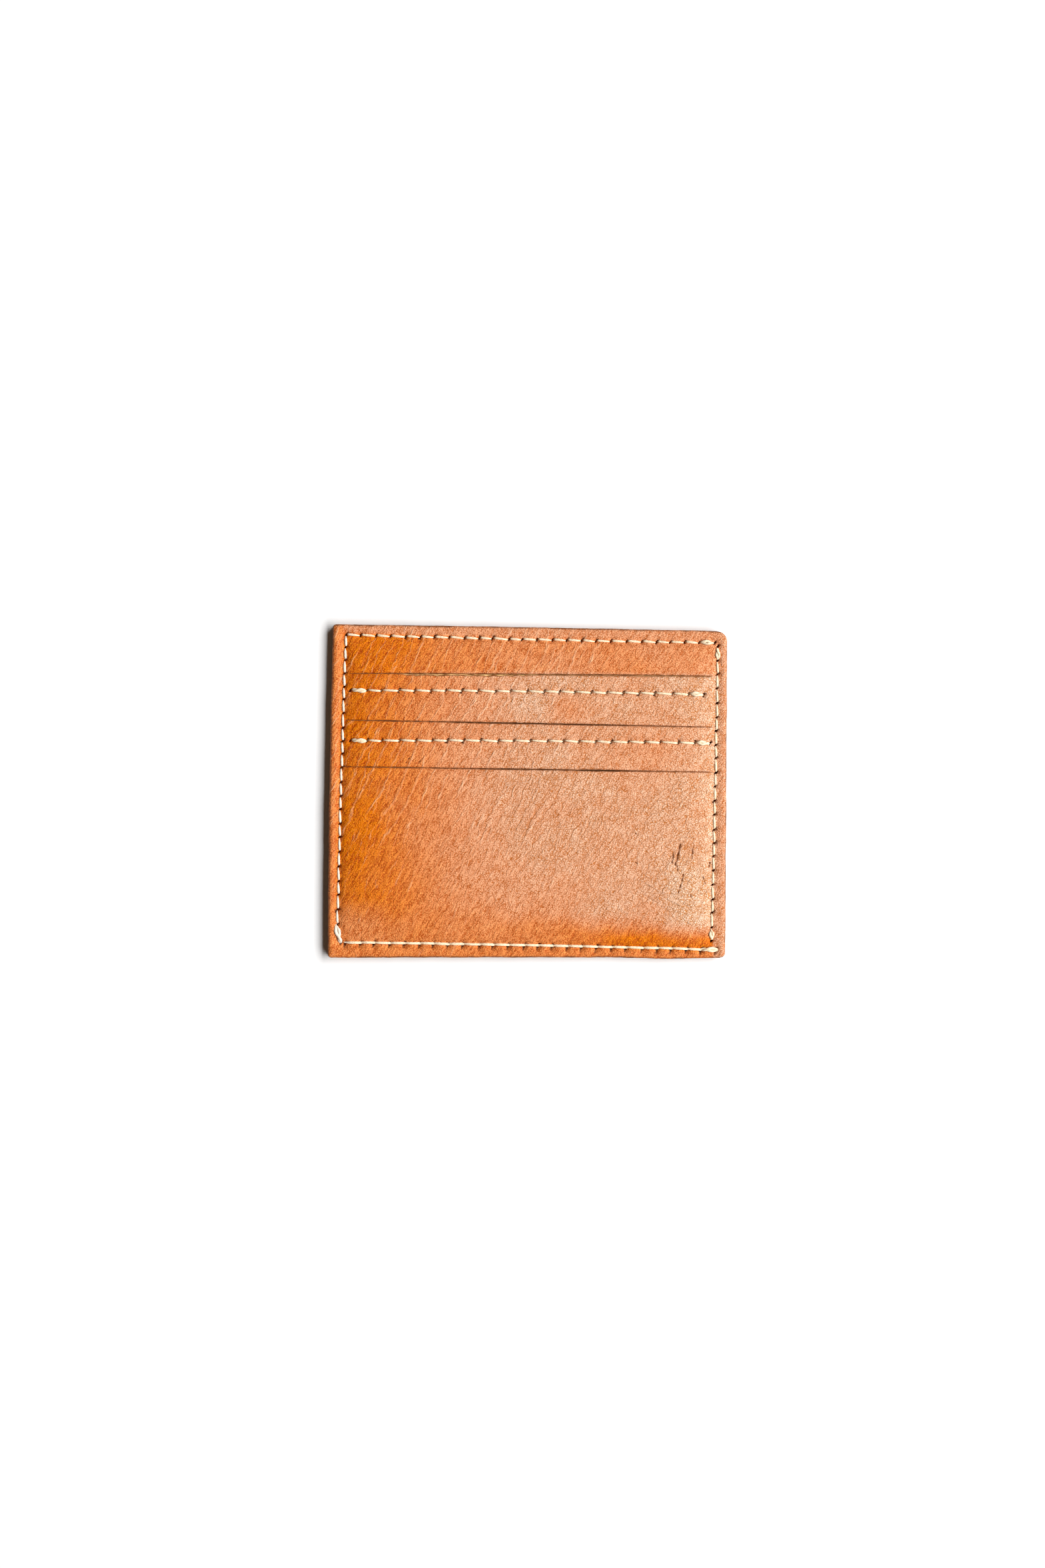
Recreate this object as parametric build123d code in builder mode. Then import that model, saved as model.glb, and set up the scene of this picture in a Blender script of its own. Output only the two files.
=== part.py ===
from build123d import *

import os

# A flat leather card holder with three card slits in its front panel.
#
# The holder lies on its back. +X runs along the slits, +Y towards the closed top edge and +Z out
# of the front face. The origin is the centre of the back face. Every length is in millimetres.
#
# From the back the layers are the back panel, the inner liner, two pocket leaves and the front
# panel. The leaves hang from the two stitched rows on the front panel and are sewn to the liner
# at their feet. The card from the top slit goes behind both leaves, the next one goes between
# them, and the card from the bottom slit goes in front of both.

# Panels
width = 98.4
height = 82.0
left_corner_radius = 1.0
right_corner_radius = 1.8
back_thickness = 1.1
liner_thickness = 0.3
leaf_thickness = 0.35
front_thickness = 1.2
pocket_gap = 0.25

# Card slits, for cards of 85.6 x 54 mm
slit_length = 90.4
slit_width = 0.4
slit_heights = (29.35, 17.1, 5.7)
pocket_depth = 43.3

# Perimeter seams, as distances in from the edges
side_inset = 2.8
top_inset = 2.5
bottom_inset = 3.1
corner_step = 1.1
corner_overrun = 0.3
top_stitches = 25
left_stitches = 22
right_stitches = 21
bottom_stitches = 25

# Rows of stitches across the front, each just below a slit
row_drop = 4.4
row_half_length = 44.6
row_stitches = 22

# Feet of the pocket leaves, sewn to the liner
foot_half_length = 40.0
foot_stitches = 20
leaf_width = 90.2
leaf_margin = 2.4
foot_margin = 3.0
bend_length = 5.0
foot_bend_length = 2.5

# Thread
thread_width = 0.56
thread_height = 0.3
double_width = 1.1
stitch_end_width = 0.4
stitch_lap = 0.2
stitch_taper = 0.7
leg_radius = 0.15
hidden_thread_height = 0.2
groove_width = 1.5
groove_depth = 0.35
inner_groove_width = 1.0

# Awl slits that the thread passes through, cut at a slant
awl_length = 0.95
awl_width = 0.42
awl_slant = 45

# Raised middle of the front panel, where the pockets are
shoulder_run = 0.5
top_slope_run = 3.5
raised_half_width = 45.25
raised_top = 33.0
raised_bottom = -32.4

# Heights of the layers
liner_bottom = back_thickness
liner_top = liner_bottom + liner_thickness
flange_top = liner_top + front_thickness
pocket_space = 2 * leaf_thickness + 3 * pocket_gap
pocket_roof = liner_top + pocket_space
face_top = pocket_roof + front_thickness
upper_leaf_bottom = liner_top + pocket_gap
lower_leaf_bottom = upper_leaf_bottom + leaf_thickness + pocket_gap
hung_leaf_bottom = pocket_roof - leaf_thickness

# Lines of the seams
top_seam_y = height / 2 - top_inset
bottom_seam_y = bottom_inset - height / 2
left_seam_x = side_inset - width / 2
right_seam_x = width / 2 - side_inset
upper_row_y = slit_heights[0] - row_drop
lower_row_y = slit_heights[1] - row_drop
upper_foot_y = slit_heights[0] - pocket_depth
lower_foot_y = slit_heights[1] - pocket_depth


def seam_holes(start, end, stitches):
    """Hole centres evenly spaced from start to end, one more than there are stitches."""
    line = Line(start, end, mode=Mode.PRIVATE)
    return [line @ (i / stitches) for i in range(stitches + 1)]


top_holes = seam_holes(
    (left_seam_x, top_seam_y), (right_seam_x - corner_overrun, top_seam_y), top_stitches
)
left_holes = seam_holes(
    (left_seam_x, top_seam_y), (left_seam_x, bottom_seam_y + corner_step), left_stitches
)
right_holes = seam_holes(
    (right_seam_x, top_seam_y - corner_step),
    (right_seam_x, bottom_seam_y + corner_step),
    right_stitches,
)
bottom_holes = seam_holes(
    (left_seam_x + corner_step, bottom_seam_y),
    (right_seam_x + corner_overrun, bottom_seam_y),
    bottom_stitches,
)
upper_row_holes = seam_holes(
    (-row_half_length, upper_row_y), (row_half_length, upper_row_y), row_stitches
)
lower_row_holes = seam_holes(
    (-row_half_length, lower_row_y), (row_half_length, lower_row_y), row_stitches
)
upper_foot_holes = seam_holes(
    (-foot_half_length, upper_foot_y), (foot_half_length, upper_foot_y), foot_stitches
)
lower_foot_holes = seam_holes(
    (-foot_half_length, lower_foot_y), (foot_half_length, lower_foot_y), foot_stitches
)
perimeter_holes = top_holes + left_holes[1:] + right_holes + bottom_holes


def panel_outline():
    """The outline shared by the panels and the liner."""
    with BuildSketch() as outline:
        Rectangle(width, height)
        corners = outline.vertices().group_by(Axis.X)
        fillet(corners[0], left_corner_radius)
        fillet(corners[-1], right_corner_radius)
    return outline.sketch


def awl_slits(holes):
    """Slanted slits at the given hole centres."""
    with BuildSketch() as slits:
        with Locations(*holes):
            Rectangle(awl_length, awl_width, rotation=awl_slant)
    return slits.sketch


def raised_outline(run, lift):
    """The raised middle of the front panel at one level, run outside its flat top."""
    with BuildSketch(Plane.XY.offset(lift)) as outline:
        top = raised_top + run * top_slope_run
        bottom = raised_bottom - run * top_slope_run
        with Locations((0, (top + bottom) / 2)):
            Rectangle(2 * (raised_half_width + run * shoulder_run), top - bottom)
    return outline.sketch


def raised_block(foot):
    """A block with sloping sides that rises from the level foot by the pocket space."""
    with BuildPart() as block:
        loft([raised_outline(1, foot), raised_outline(0, foot + pocket_space)])
    return block.part


def leaf_profile(top_edge, bend_start, flat_bottom, foot_line):
    """A leaf seen from its end: hung from the front panel, bent down to its foot on the liner."""
    foot_start = foot_line + foot_margin
    levels = (
        (top_edge, hung_leaf_bottom),
        (bend_start, hung_leaf_bottom),
        (bend_start - bend_length, flat_bottom),
        (foot_start + foot_bend_length, flat_bottom),
        (foot_start, liner_top),
        (foot_line - foot_margin, liner_top),
    )
    raised = [(y, z + leaf_thickness) for y, z in levels]
    with BuildSketch(Plane.YZ.offset(-leaf_width / 2)) as profile:
        with BuildLine():
            Polyline(*levels, *reversed(raised), close=True)
        make_face()
    return profile.sketch


def stitch(start, end, wide):
    """One stitch seen from above: full in its middle and thin at its ends, just past its holes."""
    span = Vector(end) - Vector(start)
    middle = (Vector(start) + Vector(end)) / 2
    turn = Vector(1, 0).get_signed_angle(span)
    tip = span.length / 2 + stitch_lap
    full = tip - stitch_taper
    tip_half = stitch_end_width / 2
    full_half = (double_width if wide else thread_width) / 2
    upper_side = [(-tip, tip_half), (-full, full_half), (full, full_half), (tip, tip_half)]
    lower_side = [(x, -y) for x, y in reversed(upper_side)]
    with BuildSketch() as sketch:
        with Locations(middle):
            Polygon(*upper_side, *lower_side, rotation=turn)
    return sketch.sketch


def thread_runs(holes, doubles):
    """All the stitches between neighbouring holes, the numbered ones sewn twice."""
    last = len(holes) - 1
    doubled = {number % last for number in doubles}
    with BuildSketch() as runs:
        for number in range(last):
            add(stitch(holes[number], holes[number + 1], number in doubled))
    return runs.sketch


def thread_legs(holes):
    """The thread's way through each hole, seen from above."""
    with BuildSketch() as legs:
        with Locations(*holes):
            Circle(leg_radius)
    return legs.sketch


# Back panel, with a groove for the thread on its outside and two inside, over the leaf feet
with BuildPart() as back_panel:
    extrude(panel_outline(), amount=back_thickness)
    extrude(awl_slits(perimeter_holes), amount=back_thickness, mode=Mode.SUBTRACT)
    with BuildSketch() as seam_groove:
        with Locations((0, (top_seam_y + bottom_seam_y) / 2)):
            Rectangle(
                right_seam_x - left_seam_x + groove_width + 2 * corner_overrun,
                top_seam_y - bottom_seam_y + groove_width,
            )
            Rectangle(
                right_seam_x - left_seam_x - groove_width,
                top_seam_y - bottom_seam_y - groove_width,
                mode=Mode.SUBTRACT,
            )
    extrude(amount=groove_depth, mode=Mode.SUBTRACT)
    with BuildSketch(Plane.XY.offset(back_thickness)):
        with Locations((0, upper_foot_y), (0, lower_foot_y)):
            Rectangle(leaf_width, inner_groove_width)
    extrude(amount=-hidden_thread_height, mode=Mode.SUBTRACT)
back_panel.part.label = "back_panel"

# Inner liner, which carries the feet of both leaves
with BuildPart() as inner_liner:
    with BuildSketch(Plane.XY.offset(liner_bottom)):
        add(panel_outline())
        add(awl_slits(perimeter_holes + upper_foot_holes + lower_foot_holes), mode=Mode.SUBTRACT)
    extrude(amount=liner_thickness)
inner_liner.part.label = "inner_liner"

# Front panel, raised over the pockets, with its slits and stitch holes
with BuildPart() as front_panel:
    with BuildSketch(Plane.XY.offset(liner_top)):
        add(panel_outline())
    extrude(amount=front_thickness)
    add(raised_block(flange_top))
    add(raised_block(liner_top), mode=Mode.SUBTRACT)
    with BuildSketch(Plane.XY.offset(liner_top)):
        with Locations(*[(0, y) for y in slit_heights]):
            SlotOverall(slit_length, slit_width)
        add(awl_slits(perimeter_holes + upper_row_holes + lower_row_holes))
    extrude(amount=face_top - liner_top, mode=Mode.SUBTRACT)
front_panel.part.label = "front_panel"

# Pocket leaves
with BuildPart() as upper_pocket_leaf:
    extrude(
        leaf_profile(
            upper_row_y + leaf_margin,
            upper_row_y - leaf_margin,
            upper_leaf_bottom,
            upper_foot_y,
        ),
        amount=leaf_width,
    )
    extrude(awl_slits(upper_row_holes + upper_foot_holes), amount=face_top, mode=Mode.SUBTRACT)
upper_pocket_leaf.part.label = "upper_pocket_leaf"

with BuildPart() as lower_pocket_leaf:
    extrude(
        leaf_profile(
            lower_row_y + leaf_margin,
            lower_row_y - leaf_margin,
            lower_leaf_bottom,
            lower_foot_y,
        ),
        amount=leaf_width,
    )
    extrude(awl_slits(lower_row_holes + lower_foot_holes), amount=face_top, mode=Mode.SUBTRACT)
lower_pocket_leaf.part.label = "lower_pocket_leaf"


def sew(holes, doubles, underside, bottom_height, topside, top_height):
    """A seam's thread: a stitch on both faces between each two holes, and a leg in each hole."""
    with BuildPart() as thread:
        with BuildSketch(Plane.XY.offset(topside)):
            add(thread_runs(holes, doubles))
        extrude(amount=top_height)
        with BuildSketch(Plane.XY.offset(underside)):
            add(thread_runs(holes, ()))
        extrude(amount=-bottom_height)
        with BuildSketch(Plane.XY.offset(underside - bottom_height / 2)):
            add(thread_legs(holes))
        extrude(amount=topside + top_height / 2 - underside + bottom_height / 2)
    return thread.part


# Perimeter threads. The first one turns the top left corner, so it is sewn as one piece.
with BuildPart() as top_left_seam_thread:
    corner_run = list(reversed(top_holes)) + left_holes[1:]
    add(sew(corner_run, (0, -1), groove_depth, thread_height, flange_top, thread_height))
top_left_seam_thread.part.label = "top_left_seam_thread"

with BuildPart() as right_seam_thread:
    add(sew(right_holes, (0, -1), groove_depth, thread_height, flange_top, thread_height))
right_seam_thread.part.label = "right_seam_thread"

with BuildPart() as bottom_seam_thread:
    add(sew(bottom_holes, (-2, -1), groove_depth, thread_height, flange_top, thread_height))
bottom_seam_thread.part.label = "bottom_seam_thread"

# Row threads, which hang the leaves from the front panel
with BuildPart() as upper_row_thread:
    add(sew(upper_row_holes, (0, -1), hung_leaf_bottom, hidden_thread_height, face_top, thread_height))
upper_row_thread.part.label = "upper_row_thread"

with BuildPart() as lower_row_thread:
    add(sew(lower_row_holes, (0, -1), hung_leaf_bottom, hidden_thread_height, face_top, thread_height))
lower_row_thread.part.label = "lower_row_thread"

# Hidden threads, which hold the feet of the leaves on the liner
foot_top = liner_top + leaf_thickness
with BuildPart() as upper_foot_thread:
    add(sew(upper_foot_holes, (), liner_bottom, hidden_thread_height, foot_top, hidden_thread_height))
upper_foot_thread.part.label = "upper_foot_thread"

with BuildPart() as lower_foot_thread:
    add(sew(lower_foot_holes, (), liner_bottom, hidden_thread_height, foot_top, hidden_thread_height))
lower_foot_thread.part.label = "lower_foot_thread"

os.makedirs("parts", exist_ok=True)
pieces = (
    back_panel,
    inner_liner,
    upper_pocket_leaf,
    lower_pocket_leaf,
    front_panel,
    top_left_seam_thread,
    right_seam_thread,
    bottom_seam_thread,
    upper_row_thread,
    lower_row_thread,
    upper_foot_thread,
    lower_foot_thread,
)
for piece in pieces:
    export_step(piece.part, f"parts/{piece.part.label}.step")
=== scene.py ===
"""Looks of the leather card holder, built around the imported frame.

Sizes are in millimetres, in the frame's axes, until a mesh is made. The layers and the outline
come from the CAD pieces. The slits, the seams and the drift of the outline are given here, because
hand cutting and hand sewing leave each a little uneven.
"""

import math

import bmesh
import bpy
import numpy as np
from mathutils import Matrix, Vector, noise


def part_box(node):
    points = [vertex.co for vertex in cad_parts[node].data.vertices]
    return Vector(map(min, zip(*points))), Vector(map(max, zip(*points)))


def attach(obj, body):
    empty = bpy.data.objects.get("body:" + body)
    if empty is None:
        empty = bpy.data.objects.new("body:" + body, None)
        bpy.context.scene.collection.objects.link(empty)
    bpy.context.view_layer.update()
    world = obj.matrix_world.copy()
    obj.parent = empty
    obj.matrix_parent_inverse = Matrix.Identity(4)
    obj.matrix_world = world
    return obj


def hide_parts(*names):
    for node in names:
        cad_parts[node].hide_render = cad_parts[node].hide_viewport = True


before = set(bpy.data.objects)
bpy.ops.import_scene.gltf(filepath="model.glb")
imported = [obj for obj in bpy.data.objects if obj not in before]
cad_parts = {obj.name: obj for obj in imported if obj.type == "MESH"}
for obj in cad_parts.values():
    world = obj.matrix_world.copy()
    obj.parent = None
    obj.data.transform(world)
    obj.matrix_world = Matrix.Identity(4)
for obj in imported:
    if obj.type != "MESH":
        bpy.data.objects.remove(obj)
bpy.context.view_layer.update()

MM = 0.001


def node_box(node):
    """Lowest and highest corner of a CAD node, in millimetres."""
    low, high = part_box(node)
    return np.array(low) / MM, np.array(high) / MM


# ----- Places taken from the frame -----

HALF_WIDTH, HALF_HEIGHT, FRONT_TOP = node_box("front_panel")[1]
BACK_TOP = node_box("back_panel")[1][2]
LINER_BOTTOM, LINER_TOP = (corner[2] for corner in node_box("inner_liner"))

FRONT_THICKNESS = 1.2
LEAF_THICKNESS = 0.35
RIM_TOP = LINER_TOP + FRONT_THICKNESS
POCKET_RISE = FRONT_TOP - RIM_TOP

# The slits: x at both ends, y at the left end, the middle and the right end, the gap, and where it
# is wider, as (extra gap, start, full, ease, end) along x.
SLITS = [
    {"ends": ends, "heights": heights, "gap": gap, "wider": wider}
    for ends, heights, gap, *wider in (
        ((-45.6, 45.8), (5.9, 5.7, 5.5), 0.12, (0.1, -16, -2, 20, 34), (0.12, 12, 15, 20, 24)),
        ((-45.7, 45.0), (17.5, 17.1, 16.7), 0.13, (0.14, -26, -10, 10, 32)),
        ((-44.8, 45.3), (29.1, 29.35, 29.4), 0.11),
    )
]
TOP_SLIT = SLITS[2]

# How far each corner of the outline is from the CAD corner, in x and y, and its radius.
CORNER_DRIFT = {(-1, 1): (0.1, 0.3), (1, 1): (-0.1, -0.4), (1, -1): (0.3, 0.5), (-1, -1): (-0.3, -0.7)}
CORNER_RADIUS = {(-1, 1): 0.9, (1, 1): 2.6, (1, -1): 1.4, (-1, -1): 0.9}
LEFT_BOW = -0.25
TOP_BOW = 0.12
BORDER_WIDTH = 2.6
EDGE_ROUNDING = 0.3
LIP_ROUNDING = 0.34
LIP_WIDTH = 0.9


def seam(start, middle, end, stitches, doubled=(), drift=0.0):
    """One seam, from its first, middle and last hole. Doubled stitches are numbered from the start.

    drift is how far the middle holes lie towards the start of an even seam, in stitches.
    """
    return {"line": (start, middle, end), "stitches": stitches, "doubled": doubled, "drift": drift}


SEAMS = {
    "top": seam((46.1, 37.75), (-1.9, 38.1), (-45.85, 38.75), 25, (0,)),
    "left": seam((-45.85, 38.75), (-46.75, 0.0), (-47.25, -33.4), 21, drift=0.35),
    "right": seam((46.85, 36.8), (46.5, 1.4), (46.0, -36.5), 21, (0, 20)),
    "bottom": seam((-45.3, -37.9), (-0.1, -38.1), (47.1, -38.75), 25, (24,)),
    "upper_row": seam((-44.6, 24.9), (-0.7, 25.1), (43.4, 24.8), 22, (0, 21)),
    "lower_row": seam((-44.5, 12.4), (-0.6, 12.8), (45.15, 12.7), 22, (0, 21)),
}
CORNER_KNOT_HOLE = (-46.3, -37.9)
AWL_ANGLE = math.radians(52)
AWL_DIRECTION = np.array((math.cos(AWL_ANGLE), math.sin(AWL_ANGLE)))
AWL_ACROSS = np.array((-AWL_DIRECTION[1], AWL_DIRECTION[0]))


# ----- Small helpers -----


def bend(points, along=0):
    """A quadratic through three points, as a function of x (along 0) or of y (along 1)."""
    at = [p[along] for p in points]
    value = [p[1 - along] for p in points]
    return np.poly1d(np.polyfit(at, value, 2))


def smooth(value, low, high):
    """0 below low, 1 above high and a smooth turn between them."""
    t = np.clip((value - low) / (high - low), 0, 1)
    return t * t * (3 - 2 * t)


def between(value, start, full, ease, end):
    """0 up to start, 1 from full to ease and 0 again from end, with smooth turns."""
    return smooth(value, start, full) * (1 - smooth(value, ease, end))


def hump(distance, reach):
    """1 at no distance, falling to almost 0 at twice the reach."""
    return np.exp(-((distance / reach) ** 2))


def patch(x, y, centre, reach):
    """1 at the centre of an oval patch, falling to almost 0 at twice its reach in x and y."""
    return np.exp(-(((x - centre[0]) / reach[0]) ** 2) - ((y - centre[1]) / reach[1]) ** 2)


def ripples(x, size, seed):
    """Smooth noise along x only."""
    return wobble(x, 0 * x, size, seed)


def wobble(x, y, size, seed):
    """Smooth noise between about -1 and 1, with features of the given size."""
    x, y = np.broadcast_arrays(np.asarray(x, float), np.asarray(y, float))
    flat = [
        noise.noise(Vector((a / size + 17.3 * seed, b / size - 9.1 * seed, 3.7 * seed)))
        for a, b in zip(x.ravel(), y.ravel())
    ]
    return np.array(flat).reshape(x.shape) * 1.6


# ----- Seam lines and stitch holes -----


def seam_holes(name):
    """Hole centres of one seam along its line, with a little unevenness in their spacing."""
    start, middle, end = (np.array(p) for p in SEAMS[name]["line"])
    stitches = SEAMS[name]["stitches"]
    rng = np.random.default_rng(len(name) + stitches)
    t = np.linspace(0, 1, stitches + 1)
    t[1:-1] += rng.uniform(-0.07, 0.07, stitches - 1) / (stitches + 1)
    t -= SEAMS[name]["drift"] * 4 * t * (1 - t) / stitches
    share = np.dot(middle - start, end - start) / np.dot(end - start, end - start)
    sag = (middle - start - share * (end - start)) / (4 * share * (1 - share))
    points = start + np.outer(t, end - start) + np.outer(4 * t * (1 - t), sag)
    points += rng.normal(0, 0.035, points.shape)
    return points


HOLES = {name: seam_holes(name) for name in SEAMS}
HOLES["left"] = np.vstack((HOLES["top"][-1], HOLES["left"][1:], CORNER_KNOT_HOLE))

TOP_LINE = bend(SEAMS["top"]["line"])
BOTTOM_LINE = bend(SEAMS["bottom"]["line"])
LEFT_LINE = bend(SEAMS["left"]["line"], along=1)
RIGHT_LINE = bend(SEAMS["right"]["line"], along=1)

PERIMETER = ("top", "left", "right", "bottom")
ROWS = ("upper_row", "lower_row")
RIM_HOLES = np.vstack([HOLES[name] for name in PERIMETER])
FACE_HOLES = np.vstack([HOLES[name] for name in PERIMETER + ROWS])


# ----- Heights of the layers, where the hide shows its marks, and painted sheen and shade -----

SEAM_OVERRUN = 0.3
ROW_FADE = 0.9

# How quickly the pockets fill out, going in from the left, right, top and bottom seam.
FULLNESS_REACH = (5.5, 3.8, 4.5, 3.6)


def seam_distances(x, y):
    """How far inside each of the four perimeter seams a point is."""
    return x - LEFT_LINE(y), RIGHT_LINE(y) - x, TOP_LINE(x) - y, y - BOTTOM_LINE(x)


def fullness(x, y):
    """How far the pockets hold the panels apart: 0 at the perimeter seams, 1 in the middle."""
    full = 1.0
    for distance, reach in zip(seam_distances(x, y), FULLNESS_REACH):
        full = full * (1 - np.exp(-np.maximum(distance, 0) / reach))
    return full


def front_roof(x, y):
    """Underside of the front panel, over the pockets."""
    return LINER_TOP + POCKET_RISE * fullness(x, y)


def rim_distance(x, y):
    """Distance in from the outline."""
    left, right = outline_sides(y)
    bottom, top = outline_ends(x)
    return np.minimum.reduce([x - left, right - x, top - y, y - bottom])


def seam_pinch(x, y, rows, reach):
    """1 on the lines of the perimeter seams and of the rows given, falling to 0 on both sides."""
    left, right, top, bottom = seam_distances(x, y)
    in_x = (left > -SEAM_OVERRUN) & (right > -SEAM_OVERRUN)
    in_y = (top > -SEAM_OVERRUN) & (bottom > -SEAM_OVERRUN)
    pull = np.zeros_like(x)
    for distance, inside in ((left, in_y), (right, in_y), (top, in_x), (bottom, in_x)):
        pull = np.maximum(pull, hump(distance, reach) * inside)
    for name in rows:
        start, end = HOLES[name][0][0], HOLES[name][-1][0]
        inside = between(x, start - ROW_FADE, start, end, end + ROW_FADE)
        pull = np.maximum(pull, hump(y - bend(SEAMS[name]["line"])(x), reach) * inside)
    return pull


def dimples(x, y, holes, reach):
    """How deep the leather is drawn in round the stitch holes, 1 at their centres."""
    depth = np.zeros_like(x)
    for cx, cy in holes:
        near = (np.abs(x - cx) < 3 * reach) & (np.abs(y - cy) < 3 * reach)
        away = np.hypot(x[near] - cx, y[near] - cy)
        depth[near] = np.maximum(depth[near], hump(away, reach))
    return depth


def awl_cuts(x, y, holes):
    """1 inside the slanted awl cuts and 0 outside, with a short slope between."""
    cut = np.zeros_like(x)
    for number, (cx, cy) in enumerate(holes):
        near = (np.abs(x - cx) < 1) & (np.abs(y - cy) < 1)
        away = np.column_stack((x[near] - cx, y[near] - cy))
        half_length = 0.66 + 0.08 * math.sin(5.1 * number)
        half_width = 0.25 + 0.04 * math.sin(3.7 * number)
        size = np.hypot(away @ AWL_DIRECTION / half_length, away @ AWL_ACROSS / half_width)
        cut[near] = np.maximum(cut[near], 1 - smooth(size, 0.55, 1.15))
    return cut


# Short creases and nicks of the face, as start, end and width.
SCARS = (
    ((37.9, -12.6), (37.3, -15.4), 0.17),
    ((37.3, -15.4), (36.7, -17.6), 0.15),
    ((36.1, -14.6), (35.9, -17.2), 0.1),
    ((41.1, -12.8), (40.8, -16.0), 0.1),
    ((36.9, -17.6), (37.4, -19.0), 0.09),
    ((38.7, -20.0), (38.3, -21.6), 0.12),
    ((38.0, -22.6), (37.5, -24.6), 0.11),
    ((40.5, -25.0), (40.7, -25.6), 0.12),
    ((45.4, -17.0), (45.3, -18.2), 0.13),
    ((43.6, -20.4), (44.2, -22.4), 0.08),
    ((26.9, -17.1), (27.2, -17.4), 0.11),
    ((26.8, -9.9), (27.0, -10.1), 0.13),
    ((-30.6, 7.0), (-29.6, 8.4), 0.08),
    ((-27.4, 6.9), (-26.6, 8.0), 0.08),
)
SCAR_POINTS = np.array([
    (x0 + (x1 - x0) * share, y0 + (y1 - y0) * share)
    for (x0, y0), (x1, y1), _ in SCARS
    for share in (0, 0.25, 0.5, 0.75, 1)
])


def scar_depth(x, y):
    """1 in the middle of the short, dark creases of the face and 0 away from them."""
    depth = np.zeros_like(x)
    waver = 0.12 * wobble(x, y, 0.9, 5.5)
    for (x0, y0), (x1, y1), width in SCARS:
        run = np.array((x1 - x0, y1 - y0))
        along = ((x - x0) * run[0] + (y - y0) * run[1]) / np.dot(run, run)
        t = np.clip(along, 0, 1)
        away = np.hypot(x + waver - x0 - t * run[0], y - y0 - t * run[1])
        strength = 0.75 + 0.25 * np.sin(9 * t + x0)
        depth = np.maximum(depth, hump(away, 1.5 * width) * strength)
    return depth


def seam_ticks(x, y):
    """1 in the short folds that each stitch of the bottom seam pulls into the border below it."""
    depth = np.zeros_like(x)
    for number, (cx, cy) in enumerate(HOLES["bottom"]):
        length = 0.9 + 0.25 * math.sin(4.3 * number)
        t = np.clip((cy - 0.2 - y) / length, 0, 1)
        away = np.hypot(x - cx + 0.3 * t, np.maximum(np.abs(y - cy + 0.75) - 0.5, 0))
        depth = np.maximum(depth, hump(away, 0.28 - 0.08 * t) * (1 - 0.4 * t))
    return depth


def slit_height(slit, x):
    """Height of a slit's line at x."""
    (left, right), (start, middle, end) = slit["ends"], slit["heights"]
    return bend(((left, start), ((left + right) / 2, middle), (right, end)))(x)


def slit_gap(slit, x):
    """How wide a slit stands open at x. It is closed at its ends."""
    left, right = slit["ends"]
    t = np.clip((x - (left + right) / 2) / ((right - left) / 2), -1, 1)
    seed = slit["heights"][1]
    gap = slit["gap"] * (1 + 0.3 * ripples(x, 9, seed) + 0.25 * ripples(x, 2, seed))
    if slit is TOP_SLIT:
        gap = gap * (1 - 0.2 * between(x, -34, -29, -6, 2))
    for extra, *stretch in slit["wider"]:
        gap = gap + extra * between(x, *stretch)
    return np.maximum(gap, 0.06) * (1 - np.abs(t) ** 8)


def frayed_stretch(x):
    """1 where the top slit's lips are frayed, at the left, and less over the rest of it."""
    return smooth(x, -34, -28) * (1 - 0.6 * smooth(x, -6, 2))


def fray(x, y):
    """1 at the lips of the top slit where they are frayed to pale fibres."""
    return hump(y - slit_height(TOP_SLIT, x), 0.6) * frayed_stretch(x)


def lip_slope(x, y):
    """How far the outer face is worn back from the cut, downwards, at the lower lip of a slit."""
    worn = np.zeros_like(x)
    for slit in SLITS:
        left, right = slit["ends"]
        below = slit_height(slit, x) - slit_gap(slit, x) / 2 - y
        near_lip = (below > -0.02) & (below < LIP_WIDTH) & (x > left) & (x < right)
        if slit is TOP_SLIT:
            rough = ripples(x, 1.3, 2.2) + ripples(x, 0.6, 5.2)
            reach = np.clip(0.38 * frayed_stretch(x) * (1 + 0.45 * rough), 0, 0.6) + 0.04
        else:
            reach = 0.05 + 0.03 * ripples(x, 1.5, 2.9)
        worn = np.where(near_lip, reach * (1 - below / LIP_WIDTH), worn)
    return worn


def lip_distance(x, y):
    """Distance to the nearest slit, and 1 where that slit is below the point or -1 where above."""
    nearest = np.full_like(x, 99.0)
    side = np.zeros_like(x)
    for slit in SLITS:
        left, right = slit["ends"]
        beyond = np.maximum(np.maximum(left - x, x - right), 0)
        away = y - slit_height(slit, x)
        gap = slit_gap(slit, x) / 2
        distance = np.sqrt(np.maximum(np.abs(away) - gap, 0) ** 2 + beyond**2)
        closer = distance < nearest
        nearest = np.where(closer, distance, nearest)
        side = np.where(closer, np.sign(away), side)
    return nearest, side


# Patches of paler or stronger dye, and a painted highlight, as (extra paleness, centre, reach in x and
# y).
DYE_AND_SHEEN_PATCHES = (
    (-0.42, (9.5, 21), (4, 3.6)),
    (0.2, (-1, 23), (5, 4)),
    # painted highlight: sheen on the lower right of the face, where it falls towards the light
    (0.42, (39.5, -25), (6, 8)),
    (-0.32, (31, 10), (13, 7)),
)
PALEST = 1.35


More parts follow.
